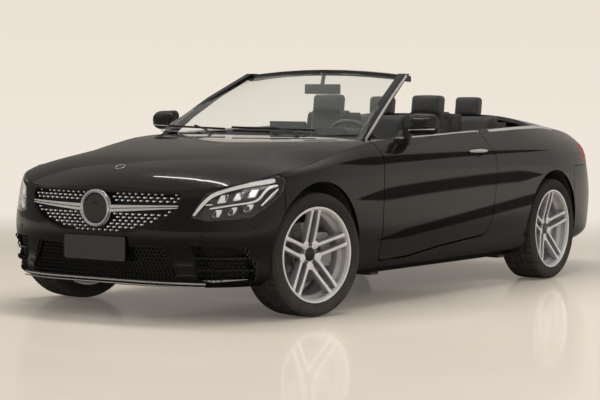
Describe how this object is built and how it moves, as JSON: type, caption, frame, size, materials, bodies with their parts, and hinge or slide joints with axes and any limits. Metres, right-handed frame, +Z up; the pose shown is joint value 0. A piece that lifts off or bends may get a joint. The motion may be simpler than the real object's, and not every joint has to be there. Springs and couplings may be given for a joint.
{
  "type": "four-seat convertible car",
  "caption": "Two-door four-seat convertible car with its roof folded away: opening doors, bonnet and boot lid, steered front wheels and four rolling wheels.",
  "frame": {"origin": "on the ground at the middle of the car's bounding box", "axes": "+X to the car's left, where the driver sits; -Y forwards; +Z up"},
  "size_m": [2.016, 4.6916, 1.337],
  "materials": {
    "paint": "gloss black paint with a clear coat",
    "black_gloss": "piano black",
    "trim_plastic": "grained moulding",
    "underside": "coated steel and felt",
    "cast_metal": "as cast",
    "steel": "stainless",
    "bright": "satin bright trim",
    "grille": "gloss black with bright pins",
    "lamp_inner": "bright reflectors in a dark housing",
    "clear": "clear",
    "red_lens": "red lamp lens",
    "leather": "black hide, stitched",
    "cover": "dark textile cover",
    "soft_panel": "soft moulded panel",
    "rubber": "tyre rubber",
    "alloy": "silver painted alloy",
    "plate": "blank plate"
  },
  "bodies": {
    "root": {"underbody": "underside", "engine_block": "cast_metal", "front_suspension": "cast_metal", "rear_suspension": "cast_metal", "wheel_housings": "underside", "exhaust": "steel", "front_bumper": "paint", "grille": "grille", "intake_grilles": "black_gloss", "headlamp_housings": "lamp_inner", "headlamp_lenses": "clear", "front_wings": "paint", "sills": "paint", "rear_quarters": "paint", "rear_bumper": "paint", "tail_lamps": "red_lens", "boot_tub": "trim_plastic", "tonneau": "cover", "waist_trim": "bright", "windscreen_frame": "paint", "windscreen": "clear", "cowl": "trim_plastic", "dashboard": "soft_panel", "centre_console": "soft_panel", "front_seats": "leather", "rear_seats": "leather", "number_plate": "plate"},
    "door_left": {"door_left": "paint", "mirror_left": "black_gloss", "handle_left": "bright"},
    "door_right": {"door_right": "paint", "mirror_right": "black_gloss", "handle_right": "bright"},
    "bonnet": {"bonnet": "paint"},
    "boot_lid": {"boot_lid": "paint"},
    "steering_wheel": {"steering_wheel": "leather"},
    "knuckle_left": {"knuckle_left": "cast_metal"},
    "knuckle_right": {"knuckle_right": "cast_metal"},
    "wheel_front_left": {"tyre_front_left": "rubber", "rim_front_left": "alloy"},
    "wheel_front_right": {"tyre_front_right": "rubber", "rim_front_right": "alloy"},
    "wheel_rear_left": {"tyre_rear_left": "rubber", "rim_rear_left": "alloy"},
    "wheel_rear_right": {"tyre_rear_right": "rubber", "rim_rear_right": "alloy"}
  },
  "joints": [
    {"name": "door_left_hinge", "type": "hinge", "parent": "root", "child": "door_left", "pos_m": [0.89, -0.872, 0.6], "axis": [0, 0, -1], "range_deg": [0, 65]},
    {"name": "door_right_hinge", "type": "hinge", "parent": "root", "child": "door_right", "pos_m": [-0.89, -0.872, 0.6], "axis": [0, 0, 1], "range_deg": [0, 65]},
    {"name": "bonnet_hinge", "type": "hinge", "parent": "root", "child": "bonnet", "pos_m": [0, -0.895, 0.93], "axis": [-1, 0, 0], "range_deg": [0, 50]},
    {"name": "boot_lid_hinge", "type": "hinge", "parent": "root", "child": "boot_lid", "pos_m": [0, 1.556, 1.036], "axis": [1, 0, 0], "range_deg": [0, 75]},
    {"name": "steer_left", "type": "hinge", "parent": "root", "child": "knuckle_left", "pos_m": [0.715, -1.553, 0.33], "axis": [0, 0, 1], "range_deg": [-19.5, 44.5]},
    {"name": "steer_right", "type": "hinge", "parent": "root", "child": "knuckle_right", "pos_m": [-0.715, -1.553, 0.33], "axis": [0, 0, 1], "range_deg": [-19.5, 44.5]},
    {"name": "steering_wheel_turn", "type": "hinge", "parent": "root", "child": "steering_wheel", "pos_m": [0.37, -0.385, 0.858], "axis": [0, 0.9207, 0.3903], "range_deg": [-275, 625]},
    {"name": "spin_front_left", "type": "hinge", "parent": "knuckle_left", "child": "wheel_front_left", "pos_m": [0.77944, -1.56729, 0.33], "axis": [0.9763, -0.2164, 0], "continuous": true},
    {"name": "spin_front_right", "type": "hinge", "parent": "knuckle_right", "child": "wheel_front_right", "pos_m": [-0.77944, -1.53871, 0.33], "axis": [0.9763, -0.2164, 0], "continuous": true},
    {"name": "spin_rear_left", "type": "hinge", "parent": "root", "child": "wheel_rear_left", "pos_m": [0.773, 1.287, 0.33], "axis": [1, 0, 0], "continuous": true},
    {"name": "spin_rear_right", "type": "hinge", "parent": "root", "child": "wheel_rear_right", "pos_m": [-0.773, 1.287, 0.33], "axis": [1, 0, 0], "continuous": true}
  ],
  "couplings": [
    {"joint": "steer_right", "follows": "steer_left", "ratio": 1},
    {"joint": "steering_wheel_turn", "follows": "steer_left", "ratio": 14}
  ]
}
